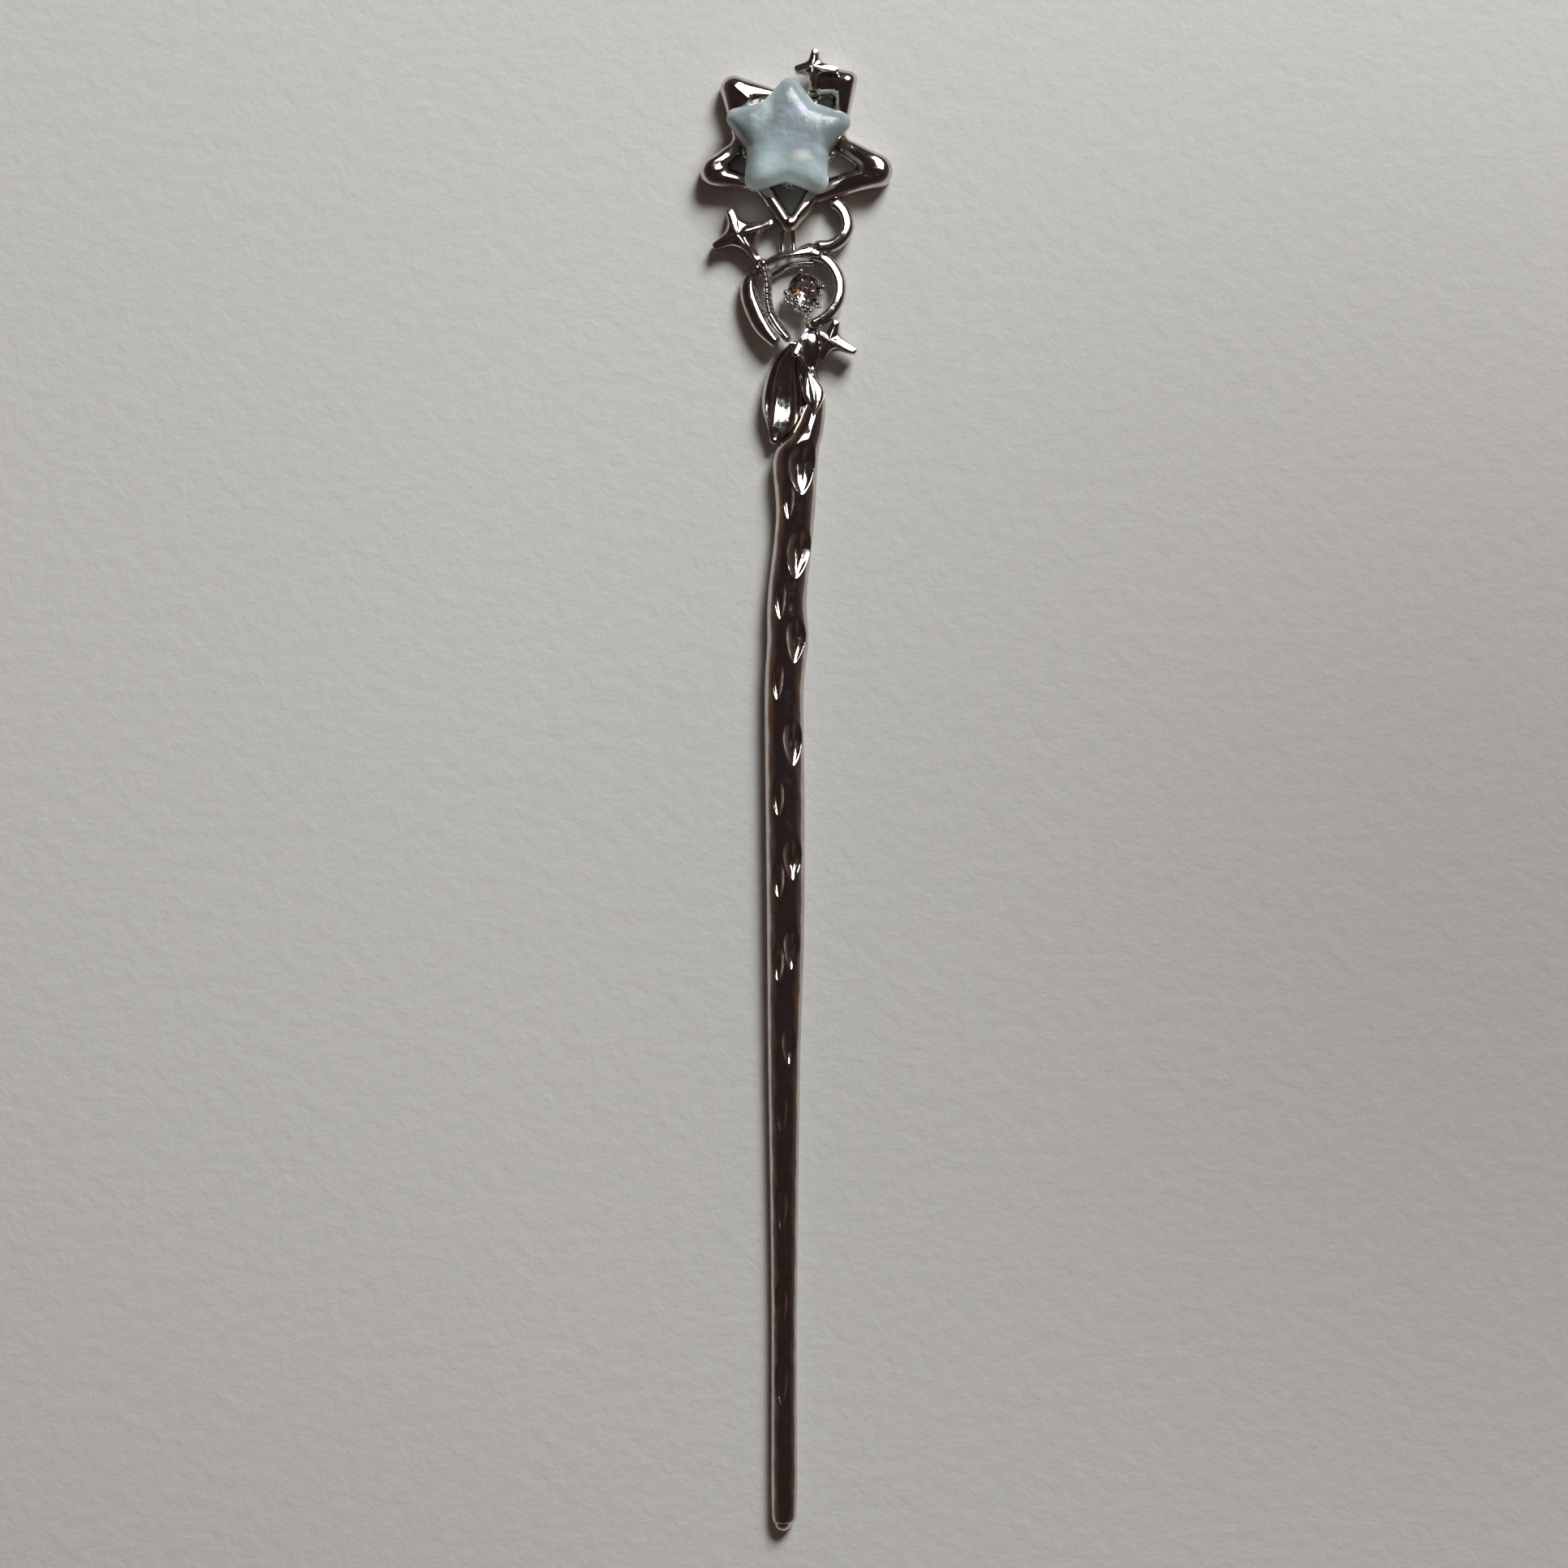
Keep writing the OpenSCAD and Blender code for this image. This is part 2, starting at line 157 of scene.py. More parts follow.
def add_lofts(name, stacks, material, node, closed=False, smooth=True):
    """One piece made of several lofted solids."""
    vertices, faces, first = [], [], 0
    for rings in stacks:
        points, quads = loft_mesh(rings, closed, first)
        vertices.append(points)
        faces += quads
        first += len(points)
    return add_piece(name, np.vstack(vertices), faces, material, node, smooth)


END_RINGS = 8
OUTERMOST_RING = 4     # degrees from the very end, so that the ring still has a width


def rounded_ends(rows):
    """Adds rings that close both ends of rows of (x, y, z, width, thickness) with a half round."""
    caps = []
    for row, neighbour in ((rows[0], rows[1]), (rows[-1], rows[-2])):
        outward = unit_rows(row[:3] - neighbour[:3])
        half_width = row[3] / 2
        angle = np.radians(np.linspace(OUTERMOST_RING, 90, END_RINGS + 1)[:-1, None])
        cap = np.repeat(row[None], END_RINGS, axis=0)
        cap[:, :3] += outward * half_width * np.cos(angle)
        cap[:, 3:] *= np.sin(angle)
        caps.append(cap)
    return np.vstack([caps[0], rows, caps[1][::-1]])


FULL_LEAN_AT = 1 / 3   # share of the half thickness above which the upper side leans in full


def swept_rings(rows, sides, square=2.0, hollow=None, lean=(0, 0)):
    """Rings of points across a route of (x, y, z, width, thickness), in the order that turns the faces
    outwards. `square` over 2 gives flatter sides. hollow(along, across) is the share of the half thickness
    taken off the upper side; along runs from 0 to 1 and across from -1 to 1. `lean` is how steeply the
    upper side falls towards +X and +Y."""
    places = rows[:, :3]
    half_width, half_thickness = rows[:, 3, None] / 2, rows[:, 4, None] / 2
    ahead = unit_rows(np.gradient(places, axis=0))
    side = unit_rows(np.stack([-ahead[:, 1], ahead[:, 0], np.zeros(len(rows))], -1))
    up = np.cross(ahead, side)
    angle = np.arange(sides) * TAU / sides
    across = power(np.cos(angle), 2 / square)
    rise = power(np.sin(angle), 2 / square)
    lift = np.repeat(rise[None], len(rows), axis=0)
    if hollow is not None:
        along = np.linspace(0, 1, len(rows))[:, None]
        lift = lift - hollow(along, -across[None]) * (rise[None] > 0)
    offset = side[:, None] * (half_width * across[None])[..., None]
    fall = (offset[..., :2] @ np.array(lean, float)) + np.linalg.norm(lean) * half_width
    upper_side = np.clip(rise / FULL_LEAN_AT, 0, 1)[None]
    height = half_thickness * lift - fall * upper_side
    rings = places[:, None] + offset + up[:, None] * height[..., None]
    return rings[:, ::-1]


def sweep(name, route, material, sides=40, steps=14, square=2.0, hollow=None, lean=(0, 0)):
    """A wire, strand or leaf along a route of (x, y, z, width, thickness)."""
    rows = rounded_ends(smooth_curve(route, steps))
    return add_lofts(name, [swept_rings(rows, sides, square, hollow, lean)], material, name)


def wire_route(points, width, thickness, height, climb=0.0):
    """Rows of a wire of one thickness; `climb` is its rise per unit of length down the head."""
    return [(x, y, height + climb * (points[0][1] - y), width, thickness) for x, y in points]


def turned(profile, middle, sides=32):
    """Rings of a turned solid about an upright axis through `middle`, from (radius, height) rows."""
    angle = np.arange(sides) * TAU / sides
    ring = np.stack([np.cos(angle), np.sin(angle), np.zeros(sides)], -1)
    return [np.array(middle) + ring * radius + (0, 0, height) for radius, height in profile]


NEAR_POLE = 84         # latitude of a ball's last ring, in degrees
BALL_RINGS = 12


def ball_profile(radius, height=0.0, start=-NEAR_POLE):
    """Rows of a ball, or of the part of it above a latitude in degrees."""
    latitudes = np.radians(np.linspace(start, NEAR_POLE, BALL_RINGS))
    return [(radius * math.cos(a), height + radius * math.sin(a)) for a in latitudes]


ARC_SHARE = 0.3        # share of the way between two corners that a corner's arc stands for


def rounded_outline(corner_rows, steps):
    """Replaces each corner (x, y, radius) of a polygon by an arc of `steps` pieces. Returns the outline
    and, for each of its points, the corner's number plus a little share towards the next corner."""
    count = len(corner_rows)
    places = np.array([row[:2] for row in corner_rows], float)
    outline, along = [], []
    for i, row in enumerate(corner_rows):
        corner = places[i]
        to_before = unit_rows(places[i - 1] - corner)
        to_after = unit_rows(places[(i + 1) % count] - corner)
        half = math.acos(np.clip(to_before @ to_after, -1, 1)) / 2
        middle = corner + unit_rows(to_before + to_after) * row[2] / math.sin(half)
        start = corner + to_before * row[2] / math.tan(half) - middle
        end = corner + to_after * row[2] / math.tan(half) - middle
        turn = math.pi - 2 * half
        for share in np.linspace(0, 1, steps + 1):
            blend = start * math.sin(turn * (1 - share)) + end * math.sin(turn * share)
            outline.append(middle + blend / math.sin(turn))
            along.append(i + (share - 0.5) * ARC_SHARE)
    return np.array(outline), np.array(along)


def refine_loop(values, pieces):
    """Adds evenly spaced points on each side of a closed outline."""
    following = np.roll(values, -1, axis=0)
    shares = (np.arange(pieces) / pieces).reshape((1, pieces) + (1,) * (values.ndim - 1))
    mixed = values[:, None] + (following - values)[:, None] * shares
    return mixed.reshape((-1,) + values.shape[1:])


# ---------------------------------------------------------------- materials


class Nodes:
    """A material's node tree, with short ways to add and link nodes."""

    def __init__(self, name):
        self.material = bpy.data.materials.new(name)
        self.material.use_nodes = True
        self.tree = self.material.node_tree
        self.shader = self.tree.nodes["Principled BSDF"]
        self.place = self.add("ShaderNodeTexCoord").outputs["Object"]

    def add(self, kind, **settings):
        """A new node with its settings."""
        node = self.tree.nodes.new(kind)
        for key, value in settings.items():
            setattr(node, key, value)
        return node

    def plug(self, value, socket):
        """Links a node's output to a socket, or sets the socket to a number or a colour."""
        if isinstance(value, bpy.types.NodeSocket):
            self.tree.links.new(value, socket)
        elif isinstance(value, tuple) and len(value) < len(socket.default_value):
            socket.default_value = (*value, 1)
        else:
            socket.default_value = value

    def noise(self, scale, detail=4.0, roughness=0.5, distortion=0.0, stretch=(1, 1, 1)):
        """Cloudy noise with about `scale` features in a metre."""
        mapping = self.add("ShaderNodeMapping")
        self.plug(self.place, mapping.inputs["Vector"])
        self.plug(stretch, mapping.inputs["Scale"])
        node = self.add("ShaderNodeTexNoise")
        self.plug(mapping.outputs["Vector"], node.inputs["Vector"])
        for key, value in (("Scale", scale), ("Detail", detail), ("Roughness", roughness)):
            self.plug(value, node.inputs[key])
        self.plug(distortion, node.inputs["Distortion"])
        return node.outputs["Fac"]

    def ramp(self, source, stops, ease=False):
        """Maps a value through (position, colour) stops; a plain number stands for a grey."""
        node = self.add("ShaderNodeValToRGB")
        node.color_ramp.interpolation = "EASE" if ease else "LINEAR"
        elements = node.color_ramp.elements
        while len(elements) < len(stops):
            elements.new(0.5)
        for element, (position, colour) in zip(elements, stops):
            element.position = position
            element.color = (*colour, 1) if isinstance(colour, tuple) else (colour, colour, colour, 1)
        self.plug(source, node.inputs["Fac"])
        return node.outputs["Color"]

    def mix(self, share, first, second):
        """Blends two colours. The numbers are those of the node's colour sockets."""
        node = self.add("ShaderNodeMix", data_type="RGBA")
        self.plug(share, node.inputs[0])
        self.plug(first, node.inputs[6])
        self.plug(second, node.inputs[7])
        return node.outputs[2]

    def math(self, operation, first, second):
        """Adds or multiplies two values, as the operation says."""
        node = self.add("ShaderNodeMath", operation=operation)
        self.plug(first, node.inputs[0])
        self.plug(second, node.inputs[1])
        return node.outputs["Value"]

    def spot(self, middle, reach):
        """1 at a place in head units, falling to 0 at `reach` (x, y, z) from it."""
        shift = self.add("ShaderNodeVectorMath", operation="SUBTRACT")
        self.plug(self.place, shift.inputs[0])
        self.plug(tuple(head(middle)), shift.inputs[1])
        scale = self.add("ShaderNodeVectorMath", operation="DIVIDE")
        self.plug(shift.outputs[0], scale.inputs[0])
        self.plug(tuple(np.array(reach, float) * UNIT), scale.inputs[1])
        length = self.add("ShaderNodeVectorMath", operation="LENGTH")
        self.plug(scale.outputs[0], length.inputs[0])
        return self.ramp(length.outputs["Value"], [(0.0, 1.0), (1.0, 0.0)], ease=True)

    def height(self, low, high):
        """0 at a height in head units and 1 at another."""
        split = self.add("ShaderNodeSeparateXYZ")
        self.plug(self.place, split.inputs[0])
        node = self.add("ShaderNodeMapRange")
        self.plug(split.outputs["Z"], node.inputs["Value"])
        self.plug(float(head((0, 0, low))[2]), node.inputs["From Min"])
        self.plug(float(head((0, 0, high))[2]), node.inputs["From Max"])
        return node.outputs["Result"]

    def bump(self, height, distance, strength=1.0):
        """Bumps up to `distance` metres high."""
        node = self.add("ShaderNodeBump")
        self.plug(strength, node.inputs["Strength"])
        self.plug(distance, node.inputs["Distance"])
        self.plug(height, node.inputs["Height"])
        self.plug(node.outputs["Normal"], self.shader.inputs["Normal"])

    def set(self, **sockets):
        """Plugs values into the shader's sockets, named in lower case with underscores."""
        by_name = {s.name.lower().replace(" ", "_"): s for s in self.shader.inputs}
        for name, value in sockets.items():
            self.plug(value, by_name[name])


def plated_metal():
    """Polished gunmetal plating over a casting: faint swirls, a little haze, warm tints and tiny pits."""
    n = Nodes("plated_metal")
    tone = n.ramp(n.noise(900, detail=5), [(0.3, (0.50, 0.47, 0.455)), (0.7, (0.68, 0.655, 0.64))])
    warm = n.ramp(n.noise(330, detail=2), [(0.54, 0.0), (0.7, 0.55)])
    tone = n.mix(n.ramp(n.noise(410, detail=2), [(0.55, 0.0), (0.7, 0.5)]), tone, (0.56, 0.52, 0.62))
    n.set(
        metallic=1.0,
        base_color=n.mix(warm, tone, (0.68, 0.585, 0.44)),
        roughness=n.ramp(n.noise(2200, detail=6), [(0.35, 0.07), (0.75, 0.16)]),
    )
    swirls = n.noise(480, detail=1.5)
    grain = n.noise(5200, detail=3)
    n.bump(n.math("ADD", swirls, n.math("MULTIPLY", grain, 0.04)), 0.0001, 0.6)
    return n.material


def star_resin():
    """Pale blue translucent resin: pearly bands, a lilac sheen painted on, thin edges painted darker as
    painted shade, painted light in its lower half and fine glitter.
    """
    n = Nodes("pearl_resin")
    clouds = n.ramp(
        n.noise(120, detail=2, distortion=0.6, stretch=(1.0, 0.7, 0.5)),
        [(0.32, (0.27, 0.33, 0.33)), (0.5, (0.34, 0.41, 0.43)), (0.7, (0.47, 0.55, 0.585))],
        ease=True,
    )
    low, high = in_units("star_cabochon")
    # Painted shade: the resin is painted darker and greener low on its sides, which from above are its thin
    # edges, where the dark glue beneath would show through.
    edge = n.ramp(n.height(low[2], high[2]), [(0.1, 0.9), (0.55, 0.75), (0.66, 0.25), (0.8, 0.0)], ease=True)
    colour = n.mix(edge, clouds, (0.25, 0.30, 0.265))
    pearl, cool, cream = (0.60, 0.74, 0.77), (0.47, 0.60, 0.65), (0.90, 0.92, 0.84)
    lilac, milk_and_painted_light = (0.50, 0.49, 0.66), (0.68, 0.85, 0.86)
    green, painted_light_green = (0.24, 0.30, 0.265), (0.62, 0.73, 0.65)
    # Pearly bands and tints of the resin, mixed with patches of painted light and a painted sheen.
    pearl_bands_and_painted_light = [    # place, reach, colour, strength
        # painted light: a pale patch that lightens the lower half, which the lamp leaves in shade
        ((-0.2, -4.6, 5.0), (5.6, 3.6, 7), milk_and_painted_light, 0.95),
        ((-2.4, 3.6, 6.0), (1.0, 2.8, 6), pearl, 0.7),
        ((-3.3, 1.6, 6.0), (1.5, 2.2, 6), pearl, 0.6),
        ((-1.0, -1.0, 6.0), (4.8, 2.4, 6), cool, 0.7),
        ((-2.2, -3.0, 6.0), (2.2, 2.6, 6), milk_and_painted_light, 0.8),
        ((1.5, -2.3, 6.0), (1.6, 1.1, 6), cream, 0.9),
        ((3.5, -1.2, 6.0), (1.0, 1.6, 6), pearl, 0.6),
        # painted sheen: a lilac patch where the window is mirrored
        ((1.3, 2.9, 6.0), (1.9, 1.5, 6), lilac, 0.8),
        ((-4.6, 2.9, 6.0), (1.5, 2.2, 6), green, 0.6),
        ((2.6, -4.0, 6.0), (1.5, 1.3, 6), painted_light_green, 0.6),
        ((5.6, 1.6, 6.0), (1.8, 1.3, 6), green, 0.3),
        # painted light: pale green on the two lower tips, which the lamp leaves in shade
        ((-4.2, -5.6, 4.0), (1.8, 1.6, 7), painted_light_green, 0.8),
        ((4.2, -5.6, 4.0), (1.8, 1.6, 7), painted_light_green, 0.8),
        ((0.0, 5.8, 6.0), (1.5, 1.5, 6), green, 0.3),
    ]
    for middle, reach, patch_colour, strength in pearl_bands_and_painted_light:
        colour = n.mix(n.math("MULTIPLY", n.spot(middle, reach), strength), colour, patch_colour)
    flakes = n.add("ShaderNodeTexVoronoi")
    flakes_per_metre = 1600.0
    n.plug(n.place, flakes.inputs["Vector"])
    n.plug(flakes_per_metre, flakes.inputs["Scale"])
    rare = n.ramp(n.noise(500, detail=1), [(0.58, 0.0), (0.66, 1.0)])
    glitter = n.math("MULTIPLY", n.ramp(flakes.outputs["Distance"], [(0.08, 1.0), (0.13, 0.0)]), rare)
    painted_light_below = n.spot((0.0, -6.2, 3.0), (9.0, 6.5, 20))    # painted light: emission that lights the lower half of the resin, which the lamp leaves in shade
    n.set(
        base_color=n.mix(glitter, colour, (0.95, 0.97, 1.0)),
        emission_color=colour,
        emission_strength=n.math("MULTIPLY", painted_light_below, 0.2),
        roughness=0.27,
        ior=1.5,
        subsurface_weight=0.4,
        subsurface_radius=(0.7, 0.95, 1.0),
        subsurface_scale=0.002,
        coat_weight=0.25,
        coat_roughness=0.05,
    )
    ripples = n.noise(380, detail=3)
    n.bump(n.math("ADD", ripples, n.math("MULTIPLY", glitter, 0.4)), 0.0006, 0.4)
    return n.material


def clear_crystal():
    """Clear lead glass, tinted in reddish and bluish patches that are painted fire of its facets."""
    n = Nodes("clear_crystal")
    reddish, clear, bluish = (0.98, 0.74, 0.62), (0.95, 0.95, 0.95), (0.70, 0.82, 0.95)
    n.set(
        # painted fire: random reddish and bluish tints in place of the facets' light
        base_color=n.ramp(n.noise(420, detail=1), [(0.38, reddish), (0.5, clear), (0.62, bluish)]),
        roughness=0.01,
        transmission_weight=1.0,
        ior=1.6,
    )
    return n.material


def mirror_foil():
    """Silver foil behind the crystal, with brownish stains."""
    n = Nodes("mirror_foil")
    n.set(
        metallic=1.0,
        base_color=n.ramp(n.noise(1200), [(0.3, (0.5, 0.42, 0.37)), (0.7, (0.8, 0.78, 0.75))]),
        roughness=n.ramp(n.noise(3000), [(0.3, 0.06), (0.7, 0.2)]),
    )
    return n.material


def clear_glue():
    """Cured glue over a crusty gallery: glossy, lumpy and dark."""
    n = Nodes("clear_adhesive")
    dark, crusty = (0.05, 0.06, 0.055), (0.36, 0.38, 0.36)
    n.set(
        base_color=n.ramp(n.noise(1300), [(0.38, dark), (0.66, crusty)]),
        roughness=0.12,
        metallic=n.ramp(n.noise(900, detail=1), [(0.45, 0.0), (0.6, 0.9)]),
        coat_weight=0.5,
    )
    n.bump(n.noise(1500, detail=2), 0.0003, 1.0)
    return n.material


def paper():
    """Matt, warm light grey paper with a cold-pressed grain, painted darker and warmer on its right side as
    painted shade where the lamp's light falls off.
    """
    n = Nodes("paper")
    dark, light = (0.785, 0.775, 0.74), (0.805, 0.80, 0.765)
    tint = n.ramp(n.noise(5, detail=2), [(0.3, dark), (0.7, light)])
    # painted shade: the right side of the sheet is darkened and warmed
    painted_shade_right = n.spot((95, -80, 0), (140, 140, 1000))
    tint = n.mix(n.math("MULTIPLY", painted_shade_right, 0.85), tint, (0.53, 0.515, 0.475))
    n.set(base_color=tint, roughness=0.9, specular_ior_level=0.2)
    grain = n.noise(520, detail=3, roughness=0.55)
    fibre = n.noise(1900, detail=2)
    n.bump(n.math("ADD", grain, n.math("MULTIPLY", fibre, 0.25)), 0.0002, 0.5)
    return n.material


METAL = plated_metal()
RESIN = star_resin()
CRYSTAL = clear_crystal()
FOIL = mirror_foil()
GLUE = clear_glue()

# ---------------------------------------------------------------- shaft

SHAFT_SIDES = 112
SHAFT_STEPS = 52
SHAFT_SQUARE = 1.9     # the shaft's section is a little sharper at its sides than an ellipse
REST_GAP = 0.05        # between the shaft and the back's plane
HAMMERED = 0.02        # depth of the shaft's faint waves
FULL_CUT_AT = 0.4      # share of the half thickness above which gouges and waves cut in full

# (x, y, width, thickness), from the top down
SHAFT_ROWS = [
    (2.6, -26.5, 1.3, 1.6),
    (3.0, -29.5, 2.3, 2.1),
    (2.1, -33.0, 3.7, 2.8),
    (0.8, -36.0, 5.1, 3.2),
    (0.72, -43.0, 4.42, 3.0),
    (-0.18, -52.0, 4.47, 3.05),
    (-0.13, -57.0, 4.72, 3.2),
    (-0.53, -63.0, 4.47, 3.05),
    (-0.43, -76.0, 4.47, 3.05),
    (-0.38, -90.0, 4.27, 2.9),
    (-0.53, -104.0, 3.72, 2.5),
    (-0.53, -120.0, 3.22, 2.2),
    (-0.53, -133.7, 2.92, 2.1),
    (-0.53, -145.4, 2.92, 2.1),
    (-0.53, -156.3, 2.87, 2.1),
    (-0.65, -157.98, 1.95, 1.75),
]

# Almond-shaped gouges in staggered rows: (x from the shaft's middle, y of the top, length, width, depth)
RIGHT_GOUGES = [
    (0.7, -34.0, 6.4, 3.0, 0.9), (0.75, -43.8, 6.2, 2.7, 0.85), (0.9, -54.1, 5.6, 2.2, 0.75),
    (0.9, -65.8, 5.6, 2.2, 0.75), (0.75, -79.2, 5.2, 2.1, 0.65), (0.65, -89.6, 5.0, 1.8, 0.6),
    (0.5, -100.8, 4.8, 1.6, 0.5),
]
LEFT_GOUGES = [(-0.75, y, 4.8, 1.3, 0.5) for y in (-38.6, -50.0, -59.2, -72.6, -81.9, -91.4)]
TIP_GOUGES = [(-0.3, y, 5.6, 1.4, 0.4) for y in (-108.0, -119.0, -130.0, -139.0)]
GOUGE_DROP = 0.45      # share of a gouge's length in which it reaches its full depth
VEIN_WIDTH = 0.2       # of the raised line along a gouge's middle, as a share of its half width
VEIN_SHARE = 0.3       # of the gouge's depth that the line fills again at its top


def gouge_depth(x, y):
    """How deep the gouges cut: each sinks gently from its top and climbs out quickly at its lower end."""
    depth = np.zeros(np.broadcast(x, y).shape)
    for at_x, top, length, width, deep in RIGHT_GOUGES + LEFT_GOUGES + TIP_GOUGES:
        along = np.clip((top - y) / length, 0, 1)
        drop = np.sin(np.clip(along / GOUGE_DROP, 0, 1) * math.pi / 2) ** 2
        almond = np.sin(math.pi * along**0.8) ** 0.7
        across = (x - at_x) / (width / 2 * np.clip(almond, 0.02, 1))
        bowl = np.clip(1 - across**2, 0, None) ** 0.8
        vein = 1 - VEIN_SHARE * bell(across / VEIN_WIDTH) * (1 - along)
        depth = np.maximum(depth, deep * drop * (1 - along**3) * bowl * vein)
    return depth


def build_shaft():
    """The tapering prong: an oval section swept down the stick, with the gouges cut into its upper side."""
    rows = smooth_curve([(x, y, REST_GAP + t / 2, w, t) for x, y, w, t in SHAFT_ROWS], SHAFT_STEPS)
    rows = rounded_ends(rows)
    angle = np.arange(SHAFT_SIDES) * TAU / SHAFT_SIDES
    across = power(np.cos(angle), 2 / SHAFT_SQUARE)[None]
    rise = power(np.sin(angle), 2 / SHAFT_SQUARE)[None]
    half_width, half_thickness = rows[:, 3, None] / 2, rows[:, 4, None] / 2
    x = half_width * across
    y = np.repeat(rows[:, 1, None], SHAFT_SIDES, axis=1)
    hammered = HAMMERED * (np.sin(y * 1.9 + x * 2.1) * np.sin(x * 2.4 - y * 0.7) + 1.5)
    upper_side = np.clip(rise / FULL_CUT_AT, 0, 1)
    cut = (gouge_depth(x, y) + hammered) * upper_side
    z = rows[:, 2, None] + half_thickness * rise - np.minimum(cut, half_thickness)
    add_lofts("shaft", [np.stack([x + rows[:, 0, None], y, z], -1)[:, ::-1]], METAL, "shaft")


# ---------------------------------------------------------------- leaves at the shaft's top

LIGHT_LEAN = (0.16, 0.26)    # the fall of tops that are worn flat towards the upper right


def bowl(depth, lower_end, crease=0.0):
    """A bowl inside a steep rim; it climbs out gently from `lower_end`. `crease` is the height of a raised
    line along it."""
    crest = 0.84           # share of the half width at which the rim is highest
    upper_end = 0.18       # share of the length in which the bowl drops to its full depth
    crease_at, crease_width = -0.25, 0.12

    def hollow(along, across):
        climb = np.clip((along - lower_end) / (1 - lower_end), 0, 1) ** 2
        ends = np.clip(along / upper_end, 0, 1) ** 0.7 * (1 - climb)
        line = crease * bell((across - crease_at) / crease_width) * np.clip(1 - along, 0, 1)
        return ends * (depth * np.clip(1 - np.abs(across / crest) ** 3, 0, None) - line)

    return hollow


def fluted(depth):
    """A bowl with a raised vein along its middle, like the shaft's gouges."""
    vein_share, vein_width = 0.45, 0.22

    def hollow(along, across):
        ends = np.sin(math.pi * np.clip(along, 0, 1)) ** 0.8
        return depth * ends * (1 - across**2) * (1 - vein_share * bell(across / vein_width))

    return hollow


def build_leaves():
    sweep(
        "leaf_large",
        [
            (0.6, -23.5, 1.5, 1.5, 1.8),
            (-0.35, -25.8, 1.5, 3.5, 2.6),
            (-0.6, -29.0, 1.55, 4.8, 3.0),
            (-0.85, -31.6, 1.5, 4.2, 2.8),
            (-1.6, -34.0, 1.2, 1.3, 1.8),
        ],
        METAL, sides=120, steps=30, hollow=bowl(1.15, lower_end=0.45, crease=0.1), lean=(0.08, 0.0),
    )
    sweep(
        "leaf_small",
        [(2.3, -26.7, 2.2, 0.7, 0.8), (2.8, -28.9, 2.5, 2.5, 1.5), (2.95, -31.1, 2.9, 0.4, 0.5)],
        METAL, sides=80, steps=30, square=2.6, hollow=fluted(0.35), lean=(0.12, 0.0),
    )
    curl = [
        (2.6, -26.0, 1.6, 0.8, 1.4),
        (2.5, -24.6, 1.7, 2.1, 2.0),
        (2.35, -23.1, 1.7, 2.7, 2.1),
        (2.5, -22.0, 1.6, 1.8, 1.8),
    ]
    lip = [(0.75, -24.3, 2.1, 0.9, 0.8), (1.3, -23.1, 1.8, 0.95, 0.8), (1.95, -21.95, 1.4, 0.8, 0.8)]
    curl_rows, lip_rows = (rounded_ends(smooth_curve(route, 24)) for route in (curl, lip))
    curl_hollow = bowl(0.5, lower_end=0.9)
    stacks = [swept_rings(curl_rows, 96, hollow=curl_hollow), swept_rings(lip_rows, 40, square=3.0)]
    add_lofts("shaft_curl", stacks, METAL, "shaft_curl")
    sweep(
        "leaf_midrib",
        [(1.1, -24.5, 2.4, 0.5, 0.8), (1.65, -25.3, 2.15, 0.6, 0.8), (2.3, -26.2, 1.9, 0.45, 0.8)],
        METAL, square=2.6, lean=LIGHT_LEAN,
    )


# ---------------------------------------------------------------- scrollwork

WIRE_WIDTH, WIRE_THICKNESS, WIRE_HEIGHT = 1.35, 1.8, 1.05
CLIMB_HEIGHT, CLIMB = 0.95, 0.15    # of the two wires that rise as they run down the head
CLIMB_LEAN = (0.2, 0.1)
OUTER_CLIMB = 0.08                  # of the outer strand
KNOTS, KNOT_DEPTH = 17, 0.16        # of the beaded stretch of the inner strand
KNOTTED_SHARE = 0.62                # of the inner strand's length


def knotted(along, across):
    """Takes slanting rings off the inner strand, which leaves a row of beads."""
    return KNOT_DEPTH * np.sin(along * TAU * KNOTS + across * 2) * (along < KNOTTED_SHARE)


